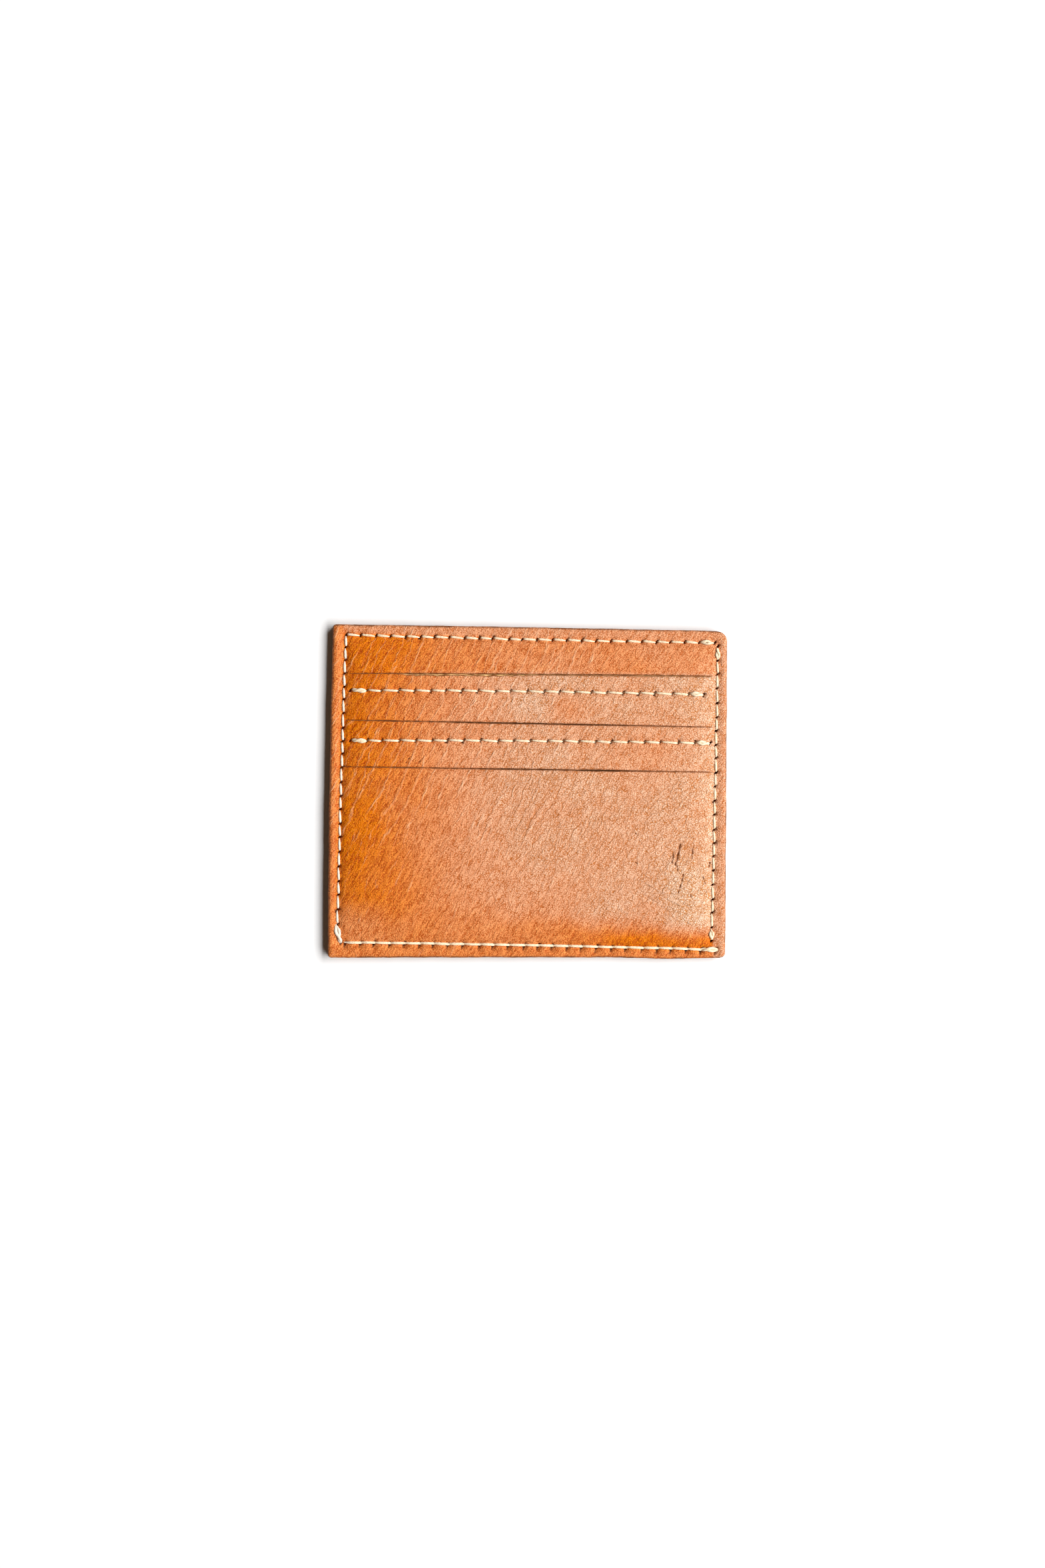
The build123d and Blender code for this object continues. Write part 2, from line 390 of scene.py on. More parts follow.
def dye_and_sheen(x, y):
    """How pale the face looks, from 0 for saturated orange to 1 for pale peach: uneven dye, with
    painted sheen and shade.
    """
    patchy = 0.12 * wobble(x, y, 13, 8.1) + 0.09 * wobble(x, y, 5, 9.2)
    # painted sheen: paler towards the right, where the face turns to the light, on top of the uneven
    # dye
    pale = 0.95 * smooth(x, -44, 6) + 0.3 * smooth(x, 30, 48)
    pale = pale * (1 - 0.6 * smooth(y, 28.8, 30.5))
    pale = pale * (1 - 0.38 * (1 - smooth(y, -33, -12)) * (1 - smooth(x, 5, 25)))
    # painted shade: the band above the bottom seam stays saturated, where the face falls away from the
    # light
    low = 1 - smooth(y + 0.04 * x + 0.8 * wobble(x, y, 5, 3.3), -35, -28.5)
    pale = pale * (1 - low) + (0.26 - 0.26 * smooth(x, 0, 26)) * low
    for extra, centre, reach in DYE_AND_SHEEN_PATCHES:
        pale = pale + extra * patch(x, y, centre, reach)
    pale = pale + patchy * (0.3 + 0.7 * np.clip(pale, 0, 1))
    left, right, top, bottom = seam_distances(x, y)
    # each border gets its own paleness: painted shade on the left one, which slopes away from the
    # light, painted sheen on the right one
    for distance, rim in ((top, 0.6), (bottom, 0.2), (right, 0.8), (left, 0.2)):
        pale = pale + (rim - pale) * (1 - smooth(distance, -0.9, -0.1))
    return np.clip(pale / PALEST, 0, 1)


def vein_zone(x, y):
    """Where the hide shows light veins: strong at the upper left, faint at the lower right."""
    away = smooth(x - 0.55 * y, -8, 16)
    return (1 - 0.88 * away) * (0.55 + 0.45 * smooth(y, -32, -2))


def fold_zone(x, y):
    """Where the hide shows steep darker folds, in the middle of the lower face."""
    return patch(x, y, (5, -5), (20, 14))


def ripple_zone(x, y):
    """Where the face has shallow wrinkles that run down to the right."""
    return patch(x, y, (36, -26), (9, 6))


def edge_rub(x, y):
    """How much the rim was darkened by dressing its cut edge."""
    left, right = outline_sides(y)
    bottom, top = outline_ends(x)
    uneven = 0.75 + 0.45 * wobble(x, y, 2.2, 4.7)
    rub = 0.45 * hump(x - left, 0.16)
    for distance, reach in ((right - x, 0.32), (top - y, 0.4), (y - bottom, 0.36)):
        rub = np.maximum(rub, hump(distance, reach))
    corner = patch(x, y, (left, top), (1.6, 0.9))
    return np.clip(rub * uneven + 0.5 * corner, 0, 1)


def leather_swell(x, y):
    """Slow waves in the face, from handling and from how the hide was cut."""
    slow = wobble(x, y, 26, 1.3) + 0.5 * wobble(x, y, 11, 2.1)
    slanted = wobble(0.87 * x - 0.5 * y, 0.28 * (0.5 * x + 0.87 * y), 3.4, 4.4)
    return 0.05 * slow + 0.022 * slanted


def face_height(x, y):
    """The outer face of the front panel, apart from the awl cuts."""
    height = RIM_TOP + POCKET_RISE * fullness(x, y)
    edge = rim_distance(x, y)
    outside = np.minimum.reduce(seam_distances(x, y)) < 0
    puff = 0.36 - 0.2 * smooth(x, -48, -44) - 0.08 * smooth(x, 40, 45)
    height = height + puff * np.sin(np.pi * np.clip(edge / BORDER_WIDTH, 0, 1) ** 0.7) * outside
    height = height - EDGE_ROUNDING * np.exp(-((np.maximum(edge, 0) / 0.26) ** 1.4))
    lip, side = lip_distance(x, y)
    height = height - LIP_ROUNDING * np.exp(-((lip / 0.22) ** 1.3))
    height = height + np.where(side < 0, 0.1, -0.14) * hump(lip, 2.4) * (lip < 20)
    height = height + leather_swell(x, y) * smooth(edge, 0, 3)
    pinch = 0.24 - 0.12 * smooth(x, 42, 46)
    height = height - pinch * seam_pinch(x, y, ROWS, 0.75)
    height = height - 0.2 * dimples(x, y, FACE_HOLES, 0.95)
    return height - 0.34 * dimples(x, y, HOLES["bottom"] - (0, 0.8), 0.7)


def back_height(x, y):
    """The outer face of the back panel, which rests on the table."""
    edge = rim_distance(x, y)
    height = EDGE_ROUNDING * np.exp(-((np.maximum(edge, 0) / 0.3) ** 1.4))
    height = height + 0.36 * seam_pinch(x, y, (), 0.6)
    return height + 0.12 * dimples(x, y, RIM_HOLES, 0.9)


# ----- Outline -----


def drift(share_x, share_y, axis):
    """The outline's drift between its corners, by place from -1 to 1 in both directions."""
    total = 0
    for (sx, sy), move in CORNER_DRIFT.items():
        total = total + move[axis] * (1 + sx * share_x) * (1 + sy * share_y) / 4
    return total


def outline_sides(y):
    """x of the left and right edges at the height y."""
    t = np.clip(y / HALF_HEIGHT, -1, 1)
    nick = 0.05 * ripples(y, 5, 6.6) + 0.03 * ripples(y, 1.3, 7.6)
    left = -HALF_WIDTH + drift(-1, t, 0) + LEFT_BOW * (1 - t * t) + nick
    return left, HALF_WIDTH + drift(1, t, 0) - nick


def outline_ends(x):
    """y of the bottom and top edges at x."""
    t = np.clip(x / HALF_WIDTH, -1, 1)
    nick = 0.05 * ripples(x, 6, 8.6) + 0.03 * ripples(x, 1.4, 9.6)
    bottom = -HALF_HEIGHT + drift(t, -1, 1) - 0.4 * hump(x - 37, 10) + 1.4 * nick
    return bottom, HALF_HEIGHT + drift(t, 1, 1) + TOP_BOW * (1 - t * t) + nick


def round_corners(points):
    """Turns the square corners of a panel's grid into rounded ones."""
    for (sx, sy), radius in CORNER_RADIUS.items():
        side = outline_sides(np.array([sy * HALF_HEIGHT]))[0 if sx < 0 else 1][0]
        end = outline_ends(np.array([sx * HALF_WIDTH]))[0 if sy < 0 else 1][0]
        u = 1 - (side - points[:, 0]) * sx / radius
        v = 1 - (end - points[:, 1]) * sy / radius
        near = (u > 0) & (v > 0)
        u, v = np.clip(u[near], 0, 1), np.clip(v[near], 0, 1)
        points[near, 0] = side - sx * radius * (1 - u * np.sqrt(1 - v * v / 2))
        points[near, 1] = end - sy * radius * (1 - v * np.sqrt(1 - u * u / 2))
    return points


# How far out from the middle the panels' grid columns stay straight.
STRAIGHT_PART = 44.6


def panel_place(columns, heights):
    """Puts a panel's grid columns at x, with the drift of the outline near its left and right."""
    left, right = outline_sides(heights)
    pull = np.clip((np.abs(columns) - STRAIGHT_PART) / (HALF_WIDTH - STRAIGHT_PART), 0, 1)
    return columns + pull * np.where(columns < 0, left + HALF_WIDTH, right - HALF_WIDTH)


# ----- Sheets of leather -----

FINE_STEPS = (0, 0.07, 0.16, 0.3, 0.5, 0.8)


def spaced(start, end, step):
    """Values from start to end, closer together near both ends."""
    fine = np.array(FINE_STEPS)
    count = max(2, int(round((end - start - 2 * fine[-1]) / step)) + 1)
    middle = np.linspace(start + fine[-1], end - fine[-1], count)
    return np.concatenate((start + fine[:-1], middle, (end - fine[:-1])[::-1]))


def sheet_grid(columns, bands, step, place, open_spans=()):
    """A flat grid in bands, joined along their shared lines except where a slit is open.

    Each band is its bottom and top line, as heights at the columns. open_spans gives, for each
    line shared by two bands, the stretch of x where it is cut.
    """
    points, faces, below = [], [], None
    for number, (low, high) in enumerate(bands):
        shares = spaced(0, float(np.mean(high - low)), step)
        shares = shares / shares[-1]
        previous = None
        for share in shares:
            heights = low + (high - low) * share
            spots = np.column_stack((place(columns, heights), heights))
            first = sum(len(p) for p in points)
            ids = first + np.arange(len(columns))
            if previous is None and below is not None:
                left, right = open_spans[number - 1]
                cut = (columns > left) & (columns < right)
                ids = np.where(cut, first + np.cumsum(cut) - 1, below)
                spots = spots[cut]
            points.append(spots)
            if previous is not None:
                faces.append(np.column_stack((previous[:-1], previous[1:], ids[1:], ids[:-1])))
            previous = ids
        below = previous
    return np.vstack(points), np.vstack(faces)


def refine(points, faces, holes, radius):
    """Splits the quads near the holes twice, so that the awl cuts have real depth."""
    mesh = bmesh.new()
    verts = [mesh.verts.new((x, y, 0)) for x, y in points]
    for face in faces:
        mesh.faces.new([verts[i] for i in face])
    for reach in (radius, radius * 0.66):
        mesh.verts.ensure_lookup_table()
        mesh.verts.index_update()
        spots = np.array([v.co[:2] for v in mesh.verts])
        near = np.zeros(len(spots), bool)
        for cx, cy in holes:
            near |= (spots[:, 0] - cx) ** 2 + (spots[:, 1] - cy) ** 2 < reach * reach
        edges = [e for e in mesh.edges if near[e.verts[0].index] and near[e.verts[1].index]]
        bmesh.ops.subdivide_edges(mesh, edges=edges, cuts=1, use_grid_fill=True)
    mesh.verts.index_update()
    spots = np.array([v.co[:2] for v in mesh.verts])
    split = [[v.index for v in f.verts] for f in mesh.faces]
    mesh.free()
    return spots, split


def border_edges(faces):
    """The sheet's directed edges that belong to one face only."""
    edges = dict.fromkeys((a, b) for face in faces for a, b in zip(face, [*face[1:], face[0]]))
    return [(a, b) for a, b in edges if (b, a) not in edges]


WALL_RINGS = 4
AWL_RADIUS = 0.92


def unit(vectors):
    """The vectors, made 1 long."""
    return vectors / (np.linalg.norm(vectors, axis=-1, keepdims=True) + 1e-9)


def edge_walls(top, bottom, faces):
    """The rough cut edges between the two faces of a sheet: rings of points, quads and the rim."""
    border = border_edges(faces)
    rim = sorted({a for edge in border for a in edge})
    outward = {i: np.zeros(2) for i in rim}
    for a, b in border:
        run = unit(bottom[b, :2] - bottom[a, :2])
        for i in (a, b):
            outward[i] += (run[1], -run[0])
    outward = unit(np.array(list(outward.values())))
    rings = []
    for ring in range(1, WALL_RINGS):
        share = ring / WALL_RINGS
        shares = np.array((share, share**0.35, share**2.4))
        points = top[rim] + (bottom[rim] - top[rim]) * shares
        rough = wobble(points[:, 0] + points[:, 1], points[:, 2], 0.45, 3.3 + ring)
        bulge = 0.05 * math.sin(math.pi * share) + 0.035 * rough
        points[:, :2] += outward * bulge[:, None]
        rings.append(points)
    wall = {}
    for number, i in enumerate(rim):
        first = len(top) + len(bottom) + number
        wall[i] = [i, *(first + ring * len(rim) for ring in range(WALL_RINGS - 1)), len(top) + i]
    quads = [
        [wall[b][ring], wall[a][ring], wall[a][ring + 1], wall[b][ring + 1]]
        for a, b in border
        for ring in range(WALL_RINGS)
    ]
    return rings, quads, rim


def add_object(name, data):
    """A new object, linked into the scene."""
    obj = bpy.data.objects.new(name, data)
    bpy.context.scene.collection.objects.link(obj)
    return obj


def build_sheet(name, grid, outer, inner, holes=(), flip=False, cut_depth=0.9, detail=False):
    """A closed sheet: a detailed outer face, a plain inner face and rough cut edges between.

    flip is for a sheet whose outer face looks down, and detail is for the face that is seen. The
    cut edges use the second material. The outer face's points keep the values that the materials
    read: depth in a cut, and how dark it gets in cuts, scars, slit lips and folds (cut stain with
    painted shade), the dye with its painted sheen, the rubbed rim, the lines of the hide and the fray.
    """
    base_points, base_faces = grid[0], grid[1].tolist()
    spots, faces = base_points, base_faces
    if len(holes):
        tick_centres = HOLES["bottom"] - (0.1, 0.75)
        centres = np.vstack((holes, SCAR_POINTS, tick_centres)) if detail else holes
        spots, faces = refine(base_points, base_faces, centres, AWL_RADIUS)
    x, y = spots.T
    dark = cut = awl_cuts(x, y, holes)
    height = outer(x, y) + (cut_depth if flip else -cut_depth) * cut
    if detail:
        scars, ticks = scar_depth(x, y), seam_ticks(x, y)
        height = height - 0.2 * scars - 0.3 * ticks
        # The slit lips are darkened: the stain of their cut, and painted shade of the slit.
        lip_stain_and_shade = 0.42 + 0.25 * wobble(x, y, 1.5, 1.9) + 0.3 * fray(x, y)
        lip_stain_and_shade = lip_stain_and_shade * hump(lip_distance(x, y)[0], 0.14)
        # painted shade: the colour darkens deep in the awl cuts, along the slit lips and in the folds
        # under the bottom seam, over the stain of the cut; the scars darken too
        dark = np.maximum.reduce([cut, 0.8 * scars, lip_stain_and_shade, 0.9 * ticks])
        y = y - lip_slope(x, y)
    top = np.column_stack((x, y, height))
    bottom = np.column_stack((base_points, inner(*base_points.T)))
    rings, sides, rim = edge_walls(top, bottom, base_faces)
    lining = [[len(top) + i for i in reversed(f)] for f in base_faces]
    everything = [*faces, *lining, *sides]
    if flip:
        everything = [f[::-1] for f in everything]
    mesh = bpy.data.meshes.new(name)
    mesh.from_pydata((np.vstack((top, bottom, *rings)) * MM).tolist(), [], everything)
    mesh.materials.append(None)
    mesh.materials.append(None)
    slots = np.zeros(len(everything), np.int32)
    slots[len(faces) + len(lining):] = 1
    mesh.polygons.foreach_set("material_index", slots)
    mesh.shade_smooth()
    values = {
        # darkness of cuts, scars, slit lips and folds: cut stain with painted shade
        "cut": dark,
        # dye with painted sheen
        "pale": dye_and_sheen(x, y) if detail else 0.4 + 0.14 * wobble(x, y, 16, 3.6),
        "rub": edge_rub(x, y),
        "veins": vein_zone(x, y),
        "folds": fold_zone(x, y),
        "ripple": ripple_zone(x, y),
    }
    if detail:
        values["fray"] = fray(x, spots[:, 1])
    for kind, value in values.items():
        kept = np.zeros(len(mesh.vertices), np.float32)
        kept[: len(top)] = value
        if kind == "fray":
            kept[len(top) + len(bottom):] = np.tile(fray(*bottom[rim, :2].T), WALL_RINGS - 1)
        mesh.attributes.new(kind, "FLOAT", "POINT").data.foreach_set("value", kept)
    return add_object(name, mesh)


# ----- Thread -----

THREAD_RADIUS = 0.285
THREAD_FLATNESS = 0.72
PLY_PITCH = 1.9
PLY_DEPTH = 0.13
TUBE_SIDES = 12
LOWEST_THREAD = 0.26
FULL_TURN = 6.28


def stitch_shape(steps=26):
    """Places along a stitch from 0 to 1, closer together at its ends."""
    t = np.linspace(0, 1, steps)
    return 0.5 - 0.5 * np.cos(math.pi * t) * (1 - 0.12 * np.sin(math.pi * t) ** 2)


class Thread:
    """Collects the stitches of one thread and makes them one mesh."""

    def __init__(self, seed):
        self.rng = np.random.default_rng(seed)
        self.vertices, self.faces = [], []

    def tube(self, line, radii, twist_start):
        """Adds a twisted thread along a line of points."""
        run = unit(np.gradient(line, axis=0))
        side = unit(np.cross(run, (0, 0, 1)))
        rise = np.cross(side, run)
        steps = np.linalg.norm(np.diff(line, axis=0), axis=1)
        travelled = np.concatenate(((0,), np.cumsum(steps)))
        angles = np.linspace(0, 2 * math.pi, TUBE_SIDES, endpoint=False)
        first = len(self.vertices) * TUBE_SIDES
        for i, centre in enumerate(line):
            turn = 2 * math.pi * (travelled[i] / PLY_PITCH) + twist_start
            ring = radii[i] * (0.94 + PLY_DEPTH * np.abs(np.cos(angles - turn)))
            wide = np.outer(np.cos(angles) * ring, side[i])
            tall = np.outer(np.sin(angles) * ring * THREAD_FLATNESS, rise[i])
            self.vertices.append(centre + wide + tall)
        for i in range(len(line) - 1):
            here = first + i * TUBE_SIDES
            for j in range(TUBE_SIDES):
                k = (j + 1) % TUBE_SIDES
                above = here + TUBE_SIDES
                self.faces.append((here + j, here + k, above + k, above + j))
        last = first + (len(line) - 1) * TUBE_SIDES
        self.faces.append(tuple(range(first + TUBE_SIDES - 1, first - 1, -1)))
        self.faces.append(tuple(range(last, last + TUBE_SIDES)))

    def sew(self, holes, level, upward, doubled=(), slant=0.16, dive=0.9, lap=-0.2, thick=1.0):
        """Stitches between neighbouring holes on one face of the leather.

        level is the height of that face at a point, upward is 1 on the front and -1 on the back.
        A stitch leaves one end of a slanted awl cut and enters the far end of the next one. slant
        is how far along the cuts that is, dive is how deep it goes in, and lap is how far it
        reaches over the holes.
        """
        t = stitch_shape()
        arch = np.sin(math.pi * t) ** 0.7
        width = 0.5 + 0.5 * smooth(t, 0, 0.4) - 0.2 * smooth(t, 0.88, 1)
        sink = dive * np.abs(2 * t - 1) ** 14
        for number, (start, end) in enumerate(zip(holes, holes[1:])):
            heading = (end - start) / np.linalg.norm(end - start)
            across = np.array((-heading[1], heading[0]))
            lean = math.copysign(slant, float(np.dot(heading, AWL_DIRECTION)))
            a = start + AWL_DIRECTION * lean - heading * lap
            b = end - AWL_DIRECTION * lean + heading * lap
            turn = self.rng.uniform(0, FULL_TURN)
            for strand in (-1, 1) if number in doubled else (0,):
                turning = turn + 4.2 * t + strand * math.pi / 2
                spread = 0.36 * thick * abs(strand) * arch * np.sin(turning)
                spread = spread + self.rng.uniform(-0.03, 0.03) * np.sin(math.pi * t)
                flat = a + np.outer(t, b - a) + np.outer(spread, across)
                surface = level(flat[:, 0], flat[:, 1])
                chord = np.interp(t, (0.1, 0.9), np.interp((0.1, 0.9), t, surface))
                taut = np.maximum(surface * upward, chord * upward)
                lift = 0.05 + abs(strand) * arch * (0.12 + 0.12 * np.cos(turning))
                z = upward * (taut + lift + 0.3 * THREAD_RADIUS - sink)
                line = np.column_stack((flat, np.maximum(z, LOWEST_THREAD)))
                radii = THREAD_RADIUS * thick * width * self.rng.uniform(0.94, 1.05)
                radii = radii * (1 + 0.08 * abs(strand))
                self.tube(line, radii, self.rng.uniform(0, FULL_TURN))

    def finish(self, name, node):
        """The finished piece, which stands for a CAD node."""
        mesh = bpy.data.meshes.new(name)
        mesh.from_pydata((np.vstack(self.vertices) * MM).tolist(), [], self.faces)
        mesh.materials.append(None)
        mesh.shade_smooth()
        finish_piece(add_object(name, mesh), "waxed_thread", (THREAD,), node)


# ----- Materials -----


class Nodes:
    """A short way to write node materials."""

    def __init__(self, name):
        self.material = bpy.data.materials.new(name)
        self.material.use_nodes = True
        self.tree = self.material.node_tree
        self.tree.nodes.clear()

    def add(self, kind, values=None, links=None, **settings):
        """A node with its settings, its socket values and what is plugged into it."""
        node = self.tree.nodes.new(kind)
        for key, value in settings.items():
            setattr(node, key, value)
        for key, value in (values or {}).items():
            node.inputs[key].default_value = value
        for key, source in (links or {}).items():
            self.tree.links.new(source, node.inputs[key])
        return node

    def plug(self, node, index, value):
        """Puts a number, a colour or another node's output into a socket."""
        if isinstance(value, (int, float)):
            node.inputs[index].default_value = value
        elif isinstance(value, tuple):
            node.inputs[index].default_value = (*value, 1)
        else:
            self.tree.links.new(value, node.inputs[index])

    def attribute(self, name):
        """A value kept on the points of the mesh."""
        return self.add("ShaderNodeAttribute", attribute_name=name).outputs["Fac"]

    def math(self, operation, a, b):
        """A Math node on two outputs or numbers."""
        node = self.add("ShaderNodeMath", operation=operation)
        self.plug(node, 0, a)
        self.plug(node, 1, b)
        return node.outputs[0]

    def plus(self, a, b):
        """a + b."""
        return self.math("ADD", a, b)

    def times(self, a, b):
        """a * b."""
        return self.math("MULTIPLY", a, b)

    def swing(self, value, middle, strength):
        """The value's swing round its middle, times a strength."""
        return self.times(self.math("SUBTRACT", value, middle), strength)

    def linear(self, value, slope, start):
        """start + slope * value."""
        node = self.add("ShaderNodeMath", {1: slope, 2: start}, {0: value}, operation="MULTIPLY_ADD")
        return node.outputs[0]

    def place(self, scale=(1000, 1000, 1000), turn=0.0, move=(0, 0, 0)):
        """Object coordinates, turned about Z and then scaled. A scale of 1000 gives millimetres."""
        coords = self.add("ShaderNodeTexCoord").outputs["Object"]
        angles = {"Rotation": (0, 0, math.radians(turn))}
        turned = self.add("ShaderNodeMapping", angles, {"Vector": coords}).outputs[0]
        values = {"Scale": scale, "Location": move}
        return self.add("ShaderNodeMapping", values, {"Vector": turned}).outputs[0]

    def noise(self, vector, scale, detail=3.0, roughness=0.5, distortion=0.0):
        """A Noise Texture's value."""
        values = {"Scale": scale, "Detail": detail, "Roughness": roughness, "Distortion": distortion}
        return self.add("ShaderNodeTexNoise", values, {"Vector": vector}).outputs["Fac"]

    def cells(self, vector, scale, drift_scale, drift_reach):
        """Distance to the borders of cells of uneven shape."""
        drift = self.add("ShaderNodeTexNoise", {"Scale": drift_scale}, {"Vector": vector})
        reach = {1: (drift_reach, drift_reach, drift_reach)}
        links = {0: drift.outputs["Color"], 2: vector}
        moved = self.add("ShaderNodeVectorMath", reach, links, operation="MULTIPLY_ADD").outputs[0]
        links = {"Vector": moved}
        borders = self.add("ShaderNodeTexVoronoi", {"Scale": scale}, links, feature="DISTANCE_TO_EDGE")
        return borders.outputs["Distance"]

    def ramp(self, value, *stops):
        """A colour ramp from (place, colour) stops. A stop's colour can be one number, for grey."""
        node = self.add("ShaderNodeValToRGB", links={"Fac": value})
        while len(node.color_ramp.elements) < len(stops):
            node.color_ramp.elements.new(0.5)
        for element, (at, colour) in zip(node.color_ramp.elements, stops):
            element.position = at
            element.color = (*colour, 1) if isinstance(colour, tuple) else (colour, colour, colour, 1)
        return node.outputs["Color"]

    def fade(self, value, start, end, low=0, high=1):
        """low up to start and high from end."""
        return self.ramp(value, (start, low), (end, high))

    def mix(self, share, a, b):
        """Mixes two colours by a share."""
        node = self.add("ShaderNodeMix", data_type="RGBA")
        for index, value in ((0, share), (6, a), (7, b)):
            self.plug(node, index, value)
        return node.outputs[2]

    def bumps(self, *layers):
        """The normal after (height, depth in mm, strength) layers. A negative depth sinks."""
        normal = None
        for height, depth, strength in layers:
            links = {"Height": height}
            if normal is not None:
                links["Normal"] = normal
            values = {"Strength": strength, "Distance": abs(depth) * MM}
            node = self.add("ShaderNodeBump", values, links, invert=depth < 0)
            normal = node.outputs["Normal"]
        return normal

    def surface(self, values, links):
        """Ends the material with a Principled BSDF."""
        shader = self.add("ShaderNodeBsdfPrincipled", values, links)
        self.add("ShaderNodeOutputMaterial", links={0: shader.outputs[0]})
        return self.material


# Every leather's colours are (valley, top, vein, glint) of the grain. The glint colour is a painted
# highlight, and the pale sets also carry the painted sheen.
FACE_STRONG = ((0.44, 0.062, 0.0), (0.76, 0.185, 0.0), (0.93, 0.43, 0.18), (0.88, 0.27, 0.01))
FACE_PALE = ((0.52, 0.19, 0.045), (0.83, 0.57, 0.41), (0.89, 0.66, 0.52), (0.89, 0.66, 0.52))
BACK_STRONG = ((0.50, 0.088, 0.0), (0.70, 0.20, 0.02), (0.76, 0.32, 0.12), (0.76, 0.28, 0.06))
BACK_PALE = ((0.50, 0.13, 0.02), (0.76, 0.34, 0.16), (0.80, 0.44, 0.24), (0.80, 0.44, 0.24))
LINING = ((0.24, 0.10, 0.04), (0.32, 0.14, 0.06), (0.38, 0.19, 0.09), (0.38, 0.19, 0.09))
RUBBED_RIM = (0.13, 0.04, 0.010)
# stain of the cut with painted shade in the cuts, slit lips and folds, and near black deep in the awl
# cuts: painted shade
CUT_STAIN_AND_SHADE = (0.17, 0.05, 0.014)
DEEP_CUT_SHADE = (0.02, 0.006, 0.003)


def vein_pattern(n, scale, turn, distortion):
    """Thin, wavering, nearly parallel ridges, 0.3 mm / scale apart."""
    values = {"Scale": scale, "Distortion": distortion, "Detail": 3.0}
    values |= {"Detail Scale": 1.1, "Detail Roughness": 0.6}
    bands = {"wave_type": "BANDS", "bands_direction": "X", "wave_profile": "SIN"}
    wave = n.add("ShaderNodeTexWave", values, {"Vector": n.place(turn=turn)}, **bands)
    return n.fade(wave.outputs["Fac"], 0.935, 0.997)


def light_veins(n):
    """Two sets of light veins, broken into flecks, more of them where "veins" is higher."""
    shown = n.attribute("veins")
    more = n.linear(shown, 0.16, -0.12)
    patches = n.plus(n.noise(n.place((170, 90, 170), 30), 1.0, 3, 0.6), more)
    vein = n.times(vein_pattern(n, 0.09, 27, 4.6), n.fade(patches, 0.46, 0.54))
    patches = n.plus(n.noise(n.place((150, 100, 150), 20, (7, 3, 0)), 1.0, 3, 0.6), more)
    second = n.times(vein_pattern(n, 0.13, 19, 5.4), n.fade(patches, 0.48, 0.58))
    both = n.math("MAXIMUM", vein, n.times(second, 0.8))
    broken = n.fade(n.noise(n.place((620, 320, 620), 28), 1.0, 2), 0.47, 0.6)
    whole = n.fade(shown, 0.7, 1.0, 0.03, 0.5)
    return n.times(n.times(both, shown), n.math("MAXIMUM", broken, whole))


def crackle(n, flat, pale, pores):
    """Fine dark lines round larger cells of the grain, where the dye is pale."""
    lines = n.ramp(n.cells(flat, 0.62, 0.5, 1.6), (0.0, 1), (0.05, 0.5), (0.12, 0))
    return n.times(n.times(lines, n.fade(pale, 0.4, 0.8)), n.fade(pores, 0.4, 0.55, 0.3))


